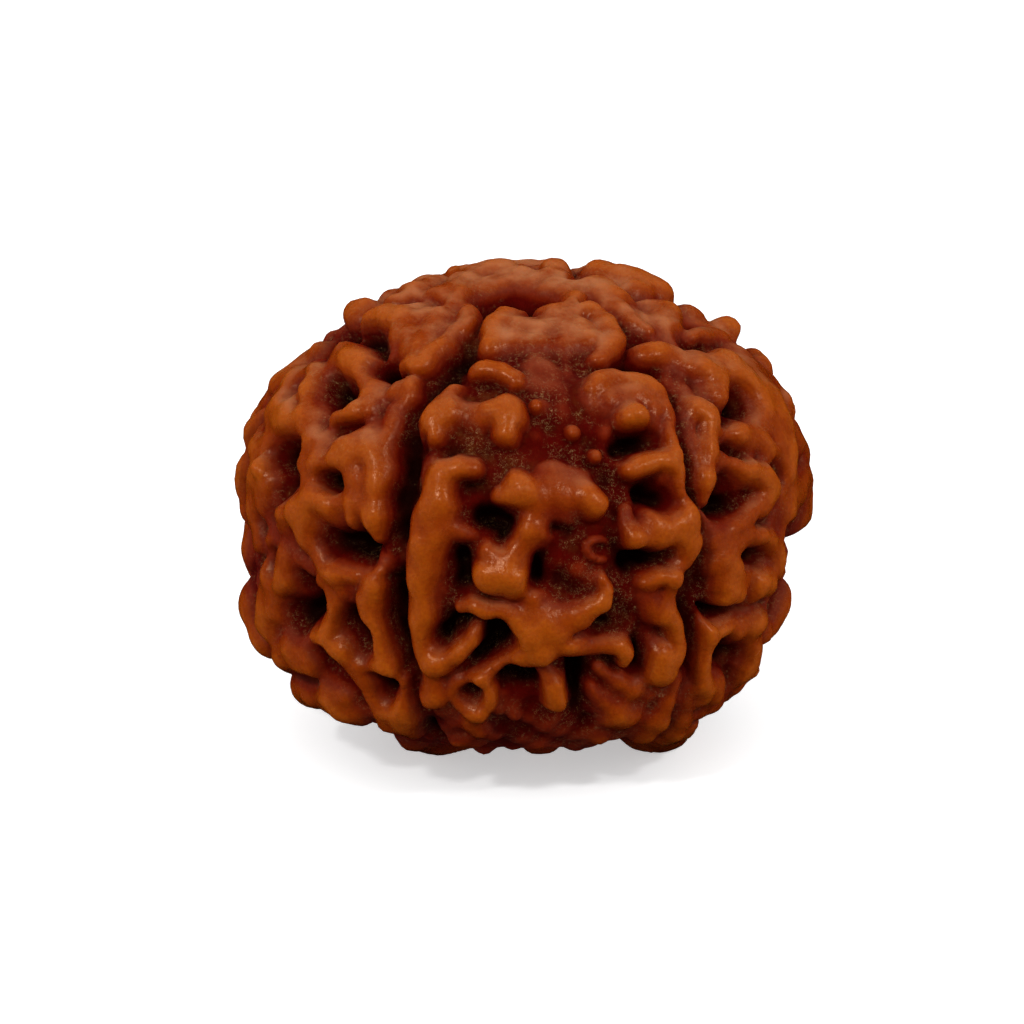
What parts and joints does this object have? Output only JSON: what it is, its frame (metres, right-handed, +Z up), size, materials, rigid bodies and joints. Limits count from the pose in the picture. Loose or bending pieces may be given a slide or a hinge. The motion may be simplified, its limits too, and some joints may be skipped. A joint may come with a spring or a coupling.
{
  "type": "rudraksha seed",
  "caption": "Round knobbly rudraksha seed, its skin parted into lobes by upright grooves and covered in rounded ridges and pits, with a blind dimple in the crown where its natural channel opens.",
  "frame": {"origin": "on the ground, under the middle of the seed's box", "axes": "+Z up from the worn feet to the crown's dimple, -Y towards the face that the picture shows, +X to that face's right"},
  "size_m": [0.0224, 0.0222, 0.018],
  "materials": {
    "endocarp": "satin, waxy orange-brown, maroon in the hollows, dusty"
  },
  "bodies": {
    "root": {"rudraksha_seed": "endocarp"}
  },
  "joints": []
}
